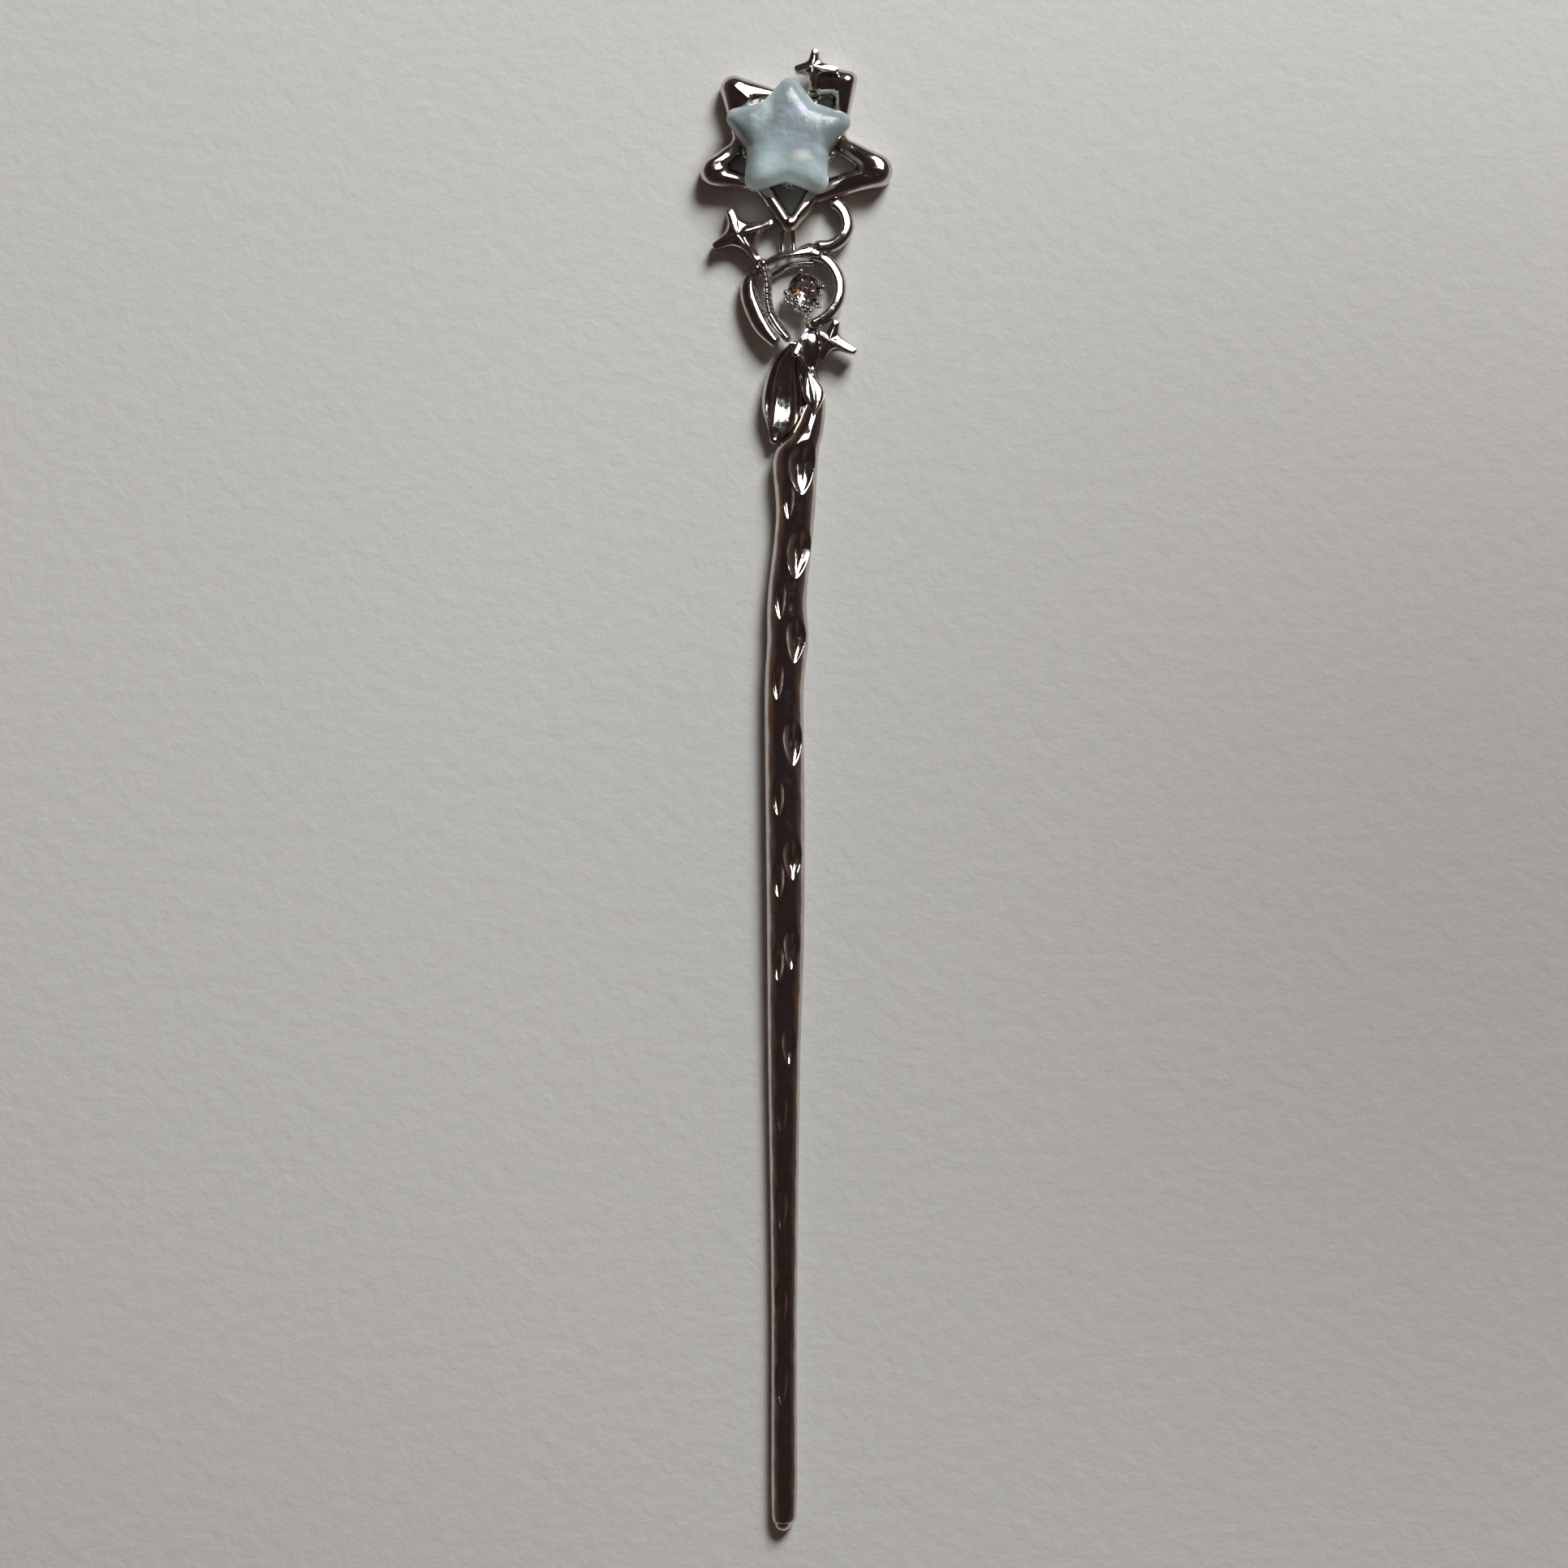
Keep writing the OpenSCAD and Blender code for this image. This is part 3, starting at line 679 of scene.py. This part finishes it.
def build_scrollwork():
    outer = [
        (-3.6, -14.4, 1.2), (-4.5, -15.8, 1.7), (-4.55, -17.4, 2.0),
        (-4.0, -19.2, 2.1), (-3.0, -21.2, 2.0), (-1.7, -22.8, 1.5),
    ]
    top = outer[0][1]
    outer_route = [(x, y, CLIMB_HEIGHT + OUTER_CLIMB * (top - y), w, WIRE_THICKNESS) for x, y, w in outer]
    sweep("strand_outer", outer_route, METAL, sides=64, square=2.3)
    inner = [(-2.9, -14.4), (-2.5, -16.0), (-2.45, -18.0), (-2.1, -19.6), (-1.25, -21.1), (-0.2, -22.4)]
    inner_route = wire_route(inner, width=1.05, thickness=1.5, height=1.6)
    sweep("strand_inner", inner_route, METAL, steps=30, hollow=knotted, lean=LIGHT_LEAN)
    ring = [
        (2.9, -12.9), (4.4, -13.5), (5.5, -14.9), (5.9, -16.5),
        (5.65, -18.1), (4.85, -19.5), (3.8, -20.4), (2.9, -20.9),
    ]
    ring_route = wire_route(ring, WIRE_WIDTH, WIRE_THICKNESS, CLIMB_HEIGHT, CLIMB)
    sweep("stone_ring", ring_route, METAL, sides=64, square=3.2, lean=CLIMB_LEAN)
    upper = [
        (3.3, -12.75, 1.2), (2.5, -12.45, 1.7), (1.6, -12.6, 1.4),
        (0.6, -12.85, 0.9), (-0.8, -13.1, 0.95), (-2.5, -13.85, 0.9),
    ]
    upper_route = [(x, y, 1.8, w, 1.6) for x, y, w in upper]
    sweep("crossbar_upper", upper_route, METAL, sides=64, square=2.8, lean=LIGHT_LEAN)
    lower = [(2.6, -13.8), (1.3, -13.85), (-0.2, -14.2), (-1.8, -15.1)]
    sweep("crossbar_lower", wire_route(lower, width=0.8, thickness=1.0, height=0.7), METAL)
    bow = [(5.4, -7.0), (6.1, -7.6), (6.6, -8.6), (6.7, -9.9), (6.0, -11.1), (4.8, -11.9), (3.5, -12.0)]
    bow_route = wire_route(bow, width=1.5, thickness=1.9, height=CLIMB_HEIGHT, climb=CLIMB)
    sweep("bow_loop", bow_route, METAL, sides=64, square=3.2, lean=CLIMB_LEAN)


def build_joints():
    """The two posts under the frame's lower tip and the ball where the strands meet."""
    posts = []
    for x in (-0.75, 0.5):
        waist = [(x, y, WIRE_HEIGHT, d, d) for y, d in ((-9.95, 0.74), (-11.3, 0.6), (-12.5, 0.74))]
        posts.append(swept_rings(smooth_curve(waist, 8), 24))
    add_lofts("link_posts", posts, METAL, "link_posts")
    add_lofts("joint_bead", [turned(ball_profile(0.6), (-2.95, -13.95, 1.9))], METAL, "joint_bead")


# ---------------------------------------------------------------- star frame

# Corners of the frame, anticlockwise from the right tip:
# (outer x, outer y, outer radius, inner x, inner y, inner radius, height)
FRAME_CORNERS = [
    (15.55, -3.9, 1.95, 7.9, -3.0, 0.4, 3.1),
    (6.4, 0.6, 1.0, 4.9, -0.8, 0.5, 2.0),
    (8.05, 7.9, 1.0, 4.9, 5.1, 0.4, 3.1),
    (3.0, 8.8, 0.5, 3.1, 4.7, 0.3, 2.7),
    (1.8, 4.9, 0.5, 1.5, 4.25, 0.4, 2.0),
    (-8.5, 8.4, 1.5, -3.0, 3.4, 0.4, 3.1),
    (-6.4, 0.2, 1.0, -4.8, -1.0, 0.5, 2.0),
    (-13.1, -4.85, 1.75, -6.9, -2.9, 0.4, 3.0),
    (-3.9, -5.6, 1.0, -2.1, -4.4, 0.6, 2.0),
    (-0.1, -11.0, 1.0, 0.2, -8.4, 0.3, 2.7),
    (3.3, -7.0, 1.0, 2.2, -4.8, 0.5, 2.0),
]
FRAME_SECTION_POINTS = 48
FRAME_SQUARE = 2.45    # over 2 makes the section's sides steeper
FRAME_SKEW = 1.25      # over 1 makes the inner slope wider than the outer one
FRAME_WIDEST = 0.3     # share of the height at which the section is widest


def build_star_frame():
    """The hollow star: one closed ring of rounded sections between its outer and its inner outline."""
    outer, along = rounded_outline([row[:3] for row in FRAME_CORNERS], 12)
    inner, _ = rounded_outline([row[3:6] for row in FRAME_CORNERS], 12)
    heights = np.interp(along, np.arange(len(FRAME_CORNERS)), [row[6] for row in FRAME_CORNERS])
    outer, inner, heights = (refine_loop(v, 4) for v in (outer, inner, heights))
    angle = np.arange(FRAME_SECTION_POINTS) * TAU / FRAME_SECTION_POINTS
    share = ((1 - power(np.cos(angle), 2 / FRAME_SQUARE)) / 2) ** FRAME_SKEW
    rise = power(np.sin(angle), 2 / FRAME_SQUARE)
    z = FRAME_WIDEST + rise * np.where(rise > 0, 1 - FRAME_WIDEST, FRAME_WIDEST)
    plan = outer[:, None] + (inner - outer)[:, None] * share[None, :, None]
    rings = np.concatenate([plan, (heights[:, None] * z[None])[..., None]], -1)
    add_lofts("star_frame", [rings[:, ::-1]], METAL, "star_frame", closed=True)


# ---------------------------------------------------------------- star stone and its seat

STONE_MIDDLE = np.array([-0.1, 0.1])
STONE_TURN = math.radians(-2)
STONE_TIP_REACH = [7.4, 8.25, 8.2, 8.25, 8.2]
STONE_NOTCH_REACH = 4.9
STONE_TIP_RADIUS = 1.1
STONE_NOTCH_RADIUS = 0.9
STONE_FOOT = 0.05       # how far the outline draws in towards the stone's underside
STONE_WALL = 0.5        # share of the stone's height at which the dome starts
DOME_FLATNESS = 0.4     # 1 would be a half ball; less keeps the dome wide for longer
FOOT_STEPS, DOME_STEPS = 8, 34


def stone_corners():
    """Corners of the stone's outline: a tip and the notch after it, five times."""
    rows = []
    for i, reach in enumerate(STONE_TIP_REACH):
        tip = math.pi / 2 + STONE_TURN + TAU * i / 5
        notch = tip + TAU / 10
        rows.append((reach * math.cos(tip), reach * math.sin(tip), STONE_TIP_RADIUS))
        x, y = STONE_NOTCH_REACH * math.cos(notch), STONE_NOTCH_REACH * math.sin(notch)
        rows.append((x, y, STONE_NOTCH_RADIUS))
    return rows


def build_star_stone():
    """The puffed star: its outline draws in and turns rounder as the dome rises over a rounded foot."""
    low, high = in_units("star_cabochon")
    base, height = low[2], high[2] - low[2]
    outline, _ = rounded_outline(stone_corners(), 10)
    outline = refine_loop(outline, 3)
    circle = unit_rows(outline) * STONE_NOTCH_REACH
    foot_height = 0.6 * STONE_WALL
    levels = []    # share of the outline's reach, share of the height, share of roundness
    for a in np.linspace(0, 1.5, FOOT_STEPS):
        levels.append((1 - STONE_FOOT * (1 - math.sin(a)), foot_height * (1 - math.cos(a)), 0))
    for a in np.radians(np.linspace(0, 88, DOME_STEPS)):
        reach = math.cos(a) ** DOME_FLATNESS
        roundness = (1 - reach) ** 2.6
        levels.append((reach, STONE_WALL + (1 - STONE_WALL) * math.sin(a), roundness))
    rings = []
    for reach, z, roundness in levels:
        ring = (outline * (1 - roundness) + circle * roundness) * reach
        rings.append(np.column_stack([ring + STONE_MIDDLE, np.full(len(ring), base + z * height)]))
    add_lofts("star_cabochon", [rings], RESIN, "star_cabochon")


CRUMBS_PER_NOTCH = 7    # irregular beads of the cast gallery
GLUE_SIDES = 160
GLUE_LUMPS = 0.04       # of the glue's radius
CLEARANCE = 0.02        # that keeps small parts just inside their CAD boxes


def build_stone_seat():
    """The plate behind the stone, the lumpy glue bed between them and the beads in the notches."""
    low, high = in_units("setting_plate")
    plate_r, plate_t = (high[0] - low[0]) / 2, high[2]
    edge = 0.12
    plate = [(plate_r - edge, 0), (plate_r, edge), (plate_r, plate_t - edge), (plate_r - edge, plate_t)]
    add_lofts("setting_plate", [turned(plate, (0, 0, 0), 96)], METAL, "setting_plate")

    low, high = in_units("star_adhesive")
    glue_r, bottom, top = (high[0] - low[0]) / 2, low[2], high[2]
    angle = np.arange(GLUE_SIDES) * TAU / GLUE_SIDES
    lumps = (0.10 * np.sin(angle * 23) + 0.08 * np.sin(angle * 37 + 1)) / 0.18
    rings = []
    foot, rim = [(0.78, bottom), (0.8, top - 0.42)], [(0.93, top - 0.36), (0.96, top - 0.18), (0.93, top)]
    for share, z in foot + rim:
        lumpy_rim = GLUE_LUMPS * lumps * (share > 0.9)
        reach = glue_r * (share + lumpy_rim)
        rings.append(np.stack([reach * np.cos(angle), reach * np.sin(angle), np.full(GLUE_SIDES, z)], -1))
    add_lofts("star_adhesive", [rings], GLUE, "star_adhesive")

    low, high = in_units("star_claws")
    stalk_r, ball_r, claw_reach = 0.34, 0.46, 5.13
    profile = [(stalk_r, low[2] + CLEARANCE), (stalk_r, high[2] - 2.2 * ball_r)]
    profile += ball_profile(ball_r, high[2] - ball_r - CLEARANCE, start=-40)
    turns = np.radians(54 + 72 * np.arange(5))
    claws = [turned(profile, (claw_reach * math.cos(a), claw_reach * math.sin(a), 0), 24) for a in turns]
    chance = np.random.default_rng(11)
    for a in np.repeat(turns, CRUMBS_PER_NOTCH):
        angle, reach = a + chance.uniform(-0.16, 0.16), chance.uniform(4.6, 5.35)
        at = (reach * math.cos(angle), reach * math.sin(angle), chance.uniform(1.7, 2.8))
        claws.append(turned(ball_profile(chance.uniform(0.14, 0.3)), at, 16))
    add_lofts("star_claws", claws, METAL, "star_claws")


# ---------------------------------------------------------------- sparkles

FINGER_WIDTH = 0.85
END_ROUNDING = 0.8              # of a finger's half width
LEAST_FILLET = 0.02
ROOF_SLOPE = 0.29
RIDGE_SHIFT = (-0.14, -0.18)    # the ridges lie nearer the fingers' lower left sides
EAVES_SHARE = 0.26              # of the way from the outline to the ridges, where the walls end
RIDGE_SHARE = 0.97              # of the same way, where the roof ends


def finger_corners(arms, notch, fillet, share):
    """Corners of a four-fingered star; `share` pulls the fingers' sides towards their middle lines."""
    rows = []
    half = FINGER_WIDTH / 2 * (1 - share)
    for i in range(4):
        arm = unit_rows(np.array(arms[i], float))
        next_arm = unit_rows(np.array(arms[(i + 1) % 4], float))
        side = np.array([-arm[1], arm[0]]) * half
        end = np.array(arms[i]) - arm * FINGER_WIDTH / 2 * share
        inside = unit_rows(arm + next_arm) * notch * (1 - share)
        end_radius = half * END_ROUNDING
        rows += [(*(end - side), end_radius), (*(end + side), end_radius)]
        rows.append((*inside, fillet * (1 - share) + LEAST_FILLET))
    return rows


def build_sparkle(name, middle, arms, notch, fillet):
    """A four-fingered star with rounded walls and a low roof that rises to a ridge along each finger."""
    low, high = in_units(name)
    height = high[2] - low[2]
    outline, ridge = (
        refine_loop(rounded_outline(finger_corners(arms, notch, fillet, share), 10)[0], 3)
        for share in (0, RIDGE_SHARE)
    )
    reach = np.linalg.norm(ridge - outline, axis=1)
    ridge = ridge + RIDGE_SHIFT
    eaves_height = height - ROOF_SLOPE * notch * (RIDGE_SHARE - EAVES_SHARE)
    foot, shoulder = [(0.1, 0.0), (0.03, 0.05), (0.0, 0.18)], [(0.02, 0.4), (0.09, 0.7), (0.17, 0.9)]
    walls = smooth_curve([*foot, *shoulder, (EAVES_SHARE, 1.0)], 3)
    levels = [(s, z * eaves_height, 0) for s, z in walls]
    levels += [(s, eaves_height, s - EAVES_SHARE) for s in np.linspace(EAVES_SHARE, RIDGE_SHARE, 12)[1:]]
    rings = []
    for share, z, roof in levels:
        ring = outline + (ridge - outline) * share / RIDGE_SHARE
        rise = np.minimum(ROOF_SLOPE * reach * roof, height - eaves_height)
        rings.append(np.column_stack([ring + middle, low[2] + z + rise]))
    add_lofts(name, [rings], METAL, name)


def build_sparkles():
    top_arms = [(2.9, -0.5), (0.25, 2.0), (-2.2, -0.4), (-0.1, -2.9)]
    left_arms = [(4.0, 1.35), (-1.1, 2.8), (-3.0, -1.55), (2.4, -3.2)]
    right_arms = [(3.0, -1.5), (0.75, 2.2), (-1.5, 0.6), (-1.2, -2.5)]
    build_sparkle("sparkle_top", (2.8, 8.35), top_arms, notch=1.0, fillet=1.0)
    build_sparkle("sparkle_left", (-5.7, -10.5), left_arms, notch=1.45, fillet=2.1)
    build_sparkle("sparkle_right", (4.75, -22.6), right_arms, notch=1.2, fillet=1.1)


# ---------------------------------------------------------------- round stone and its setting

STONE_AT = (1.75, -16.95)
CRUMBS_BELOW_STONE = 10    # small irregular beads of the cast gallery
CRUMBS_ROUND_STONE = 34


def polar(radius, height, count, turn=0.0):
    """Points evenly round the round stone's axis, in head units; turn is a share of a step."""
    angle = (np.arange(count) + turn) * TAU / count
    across, up = STONE_AT[0] + radius * np.cos(angle), STONE_AT[1] + radius * np.sin(angle)
    return np.stack([across, up, np.full(count, height)], -1)


def build_round_stone():
    """A brilliant cut: table, star, kite and girdle facets above, mains and lower halves below."""
    low, high = in_units("round_stone")
    girdle_r = (high[0] - low[0]) / 2
    bottom, top = low[2] + 0.01, high[2] - 0.01
    girdle_low, girdle_high = bottom + 0.9, bottom + 1.02
    rings = [
        polar(girdle_r * 0.2, bottom, 8),
        polar(girdle_r * 0.6, bottom + 0.42, 8, 0.5),
        polar(girdle_r, girdle_low, 16),
        polar(girdle_r, girdle_high, 16),
        polar(girdle_r * 0.78, top - 0.22, 8, 0.5),
        polar(girdle_r * 0.54, top, 8),
    ]
    starts = np.cumsum([0] + [len(r) for r in rings])
    culet, lower, girdle_a, girdle_b, kite, table = starts[:6].tolist()
    faces = [[culet + i for i in range(7, -1, -1)], [table + i for i in range(8)]]
    for i in range(8):
        after, before = (i + 1) % 8, (i - 1) % 8
        left, middle, right = 2 * i, 2 * i + 1, (2 * i + 2) % 16
        faces += [
            [culet + i, culet + after, lower + i],
            [lower + before, girdle_a + left, lower + i, culet + i],
            [lower + i, girdle_a + left, girdle_a + middle],
            [lower + i, girdle_a + middle, girdle_a + right],
            [girdle_a + left, girdle_b + left, girdle_b + middle, girdle_a + middle],
            [girdle_a + middle, girdle_b + middle, girdle_b + right, girdle_a + right],
            [girdle_b + left, kite + i, girdle_b + middle],
            [girdle_b + middle, kite + i, girdle_b + right],
            [kite + before, table + i, kite + i, girdle_b + left],
            [table + i, table + after, kite + i],
        ]
    faces = [face[::-1] for face in faces[2:]] + faces[:2]
    vertices = np.vstack(rings)
    add_piece("round_stone", vertices, faces, CRYSTAL, "round_stone", smooth=False)


def build_stone_setting():
    """The cup, the foil, the four prongs and the beads that join the cup to the curl."""
    low, high = in_units("stone_cup")
    cup_r, bottom, top = (high[0] - low[0]) / 2, low[2], high[2]
    middle = (*STONE_AT, 0)
    outside = [(cup_r * 0.42, bottom), (cup_r * 0.8, bottom), (cup_r * 0.86, bottom + 0.1)]
    rim = [(cup_r * 0.99, top - 0.08), (cup_r, top - 0.03), (cup_r * 0.95, top), (cup_r * 0.88, top - 0.1)]
    cup = [*outside, *rim, (cup_r * 0.44, bottom + 0.04)]
    add_lofts("stone_cup", [turned(cup, middle, 64)], METAL, "stone_cup", closed=True)

    low, high = in_units("stone_foil")
    foil_r, bottom, top = (high[0] - low[0]) / 2, low[2], high[2]
    back = [(foil_r * 0.02, bottom), (foil_r * 0.27, bottom), (foil_r, top - 0.1)]
    front = [(foil_r, top), (foil_r * 0.25, bottom + 0.08), (foil_r * 0.02, bottom + 0.08)]
    foil = turned(back + front, middle, 16)
    add_lofts("stone_foil", [foil], FOIL, "stone_foil", smooth=False)

    low, high = in_units("stone_prongs")
    pin_r, ball_r, reach = 0.26, 0.35, 2.125
    profile = [(pin_r, low[2] + CLEARANCE), (pin_r, high[2] - 2.2 * ball_r)]
    profile += ball_profile(ball_r, high[2] - ball_r - 0.01, start=-42)
    prongs = []
    for turn in np.radians([8, 100, 190, 280]):
        at = (STONE_AT[0] + reach * math.cos(turn), STONE_AT[1] + reach * math.sin(turn), 0)
        prongs.append(turned(profile, at, 24))
    add_lofts("stone_prongs", prongs, METAL, "stone_prongs")

    bead_r, bead_gap, bead_z = 0.345, 0.72, 1.5
    first = np.array([STONE_AT[0] + 0.1, STONE_AT[1] - 2.5, bead_z])
    step = np.array([0.12, -bead_gap, 0])
    beads = [turned(ball_profile(bead_r), first + i * step, 24) for i in range(3)]
    chance = np.random.default_rng(5)
    for i in range(CRUMBS_BELOW_STONE):
        at = first + i * 0.22 * step + [chance.uniform(-0.42, 0.42), 0, chance.uniform(0.0, 0.35)]
        beads.append(turned(ball_profile(chance.uniform(0.14, 0.24)), at, 16))
    for _ in range(CRUMBS_ROUND_STONE):
        angle, reach = math.radians(chance.uniform(195, 345)), chance.uniform(1.95, 2.55)
        x, y = STONE_AT[0] + reach * math.cos(angle), STONE_AT[1] + reach * math.sin(angle)
        at = (x, y, chance.uniform(1.2, 2.0))
        beads.append(turned(ball_profile(chance.uniform(0.15, 0.3)), at, 16))
    add_lofts("gallery_beads", beads, METAL, "gallery_beads")


# ---------------------------------------------------------------- stage, light and camera

BOX_LOW, BOX_HIGH = (np.array(corner, float) for corner in cad_box)
BOX_MIDDLE = (BOX_LOW + BOX_HIGH) / 2
BOX_SIZE = BOX_HIGH - BOX_LOW
PAPER_SIDE = 3.0           # metres


def build_stage():
    """A sheet of paper under the stick, large enough to fill any view of it."""
    half = PAPER_SIDE / 2
    square = [(-half, -half), (half, -half), (half, half), (-half, half)]
    mesh = bpy.data.meshes.new("floor")
    places = [(BOX_MIDDLE[0] + x, BOX_MIDDLE[1] + y, BOX_LOW[2]) for x, y in square]
    mesh.from_pydata(places, [], [(0, 1, 2, 3)])
    mesh.materials.append(paper())
    floor = bpy.data.objects.new("floor", mesh)
    bpy.context.scene.collection.objects.link(floor)


def area_light(name, direction, distance, size, power_w, colour, seen_in_gloss):
    """A soft box at a direction and distance from the head, facing it. It lights either what mirrors it
    or the matt surfaces, like a window that is blocked off from the table and a lamp behind a screen."""
    light = bpy.data.lights.new(name, "AREA")
    light.shape = "RECTANGLE"
    light.size, light.size_y = size
    light.energy = power_w
    light.color = colour
    lamp = bpy.data.objects.new(name, light)
    away = Vector(direction).normalized()
    lamp.location = Vector(ORIGIN) + away * distance
    lamp.rotation_euler = away.to_track_quat("Z", "Y").to_euler()
    lamp.visible_glossy = seen_in_gloss
    lamp.visible_diffuse = not seen_in_gloss
    bpy.context.scene.collection.objects.link(lamp)


def build_lights():
    """The window, the lamp and a dim brown room that is a little lighter near its horizon."""
    area_light(
        "window", (0.25, 0.49, 0.835), distance=1.3, size=(0.7, 0.5),
        power_w=13.5, colour=(1.0, 0.99, 0.97), seen_in_gloss=True,
    )
    area_light(
        "soft_lamp", (0.36, 0.71, 0.605), distance=0.95, size=(0.36, 0.36),
        power_w=10.3, colour=(0.97, 0.985, 1.0), seen_in_gloss=False,
    )
    world = bpy.data.worlds.new("dim_room")
    bpy.context.scene.world = world
    world.use_nodes = True
    tree = world.node_tree
    direction = tree.nodes.new("ShaderNodeTexCoord").outputs["Generated"]
    split = tree.nodes.new("ShaderNodeSeparateXYZ")
    ramp = tree.nodes.new("ShaderNodeValToRGB")
    stops = [(0.0, (0.24, 0.175, 0.14)), (0.28, (0.105, 0.066, 0.053)), (0.75, (0.031, 0.020, 0.019))]
    ramp.color_ramp.elements.new(0.5)
    for element, (position, colour) in zip(ramp.color_ramp.elements, stops):
        element.position = position
        element.color = (*colour, 1)
    tree.links.new(direction, split.inputs[0])
    tree.links.new(split.outputs["Z"], ramp.inputs["Fac"])
    tree.links.new(ramp.outputs["Color"], tree.nodes["Background"].inputs["Color"])


CAMERA_HEIGHT = 0.47   # metres above the paper


def build_camera():
    """Looks straight down at the paper, with the head's top towards the picture's top."""
    view_side = BOX_SIZE[1] * 1.0617   # the side of the paper that the square picture shows
    data = bpy.data.cameras.new("camera")
    data.sensor_width = 36
    data.lens = data.sensor_width * CAMERA_HEIGHT / view_side
    data.clip_start = 0.01
    camera = bpy.data.objects.new("camera", data)
    aim = head((-0.56, -73.4, 0))
    camera.location = (aim[0], aim[1], BOX_LOW[2] + CAMERA_HEIGHT)
    bpy.context.scene.collection.objects.link(camera)
    bpy.context.scene.camera = camera


build_shaft()
build_leaves()
build_scrollwork()
build_joints()
build_star_frame()
build_star_stone()
build_stone_seat()
build_sparkles()
build_round_stone()
build_stone_setting()
build_stage()
build_lights()
build_camera()
bpy.context.scene.view_settings.view_transform = "Standard"
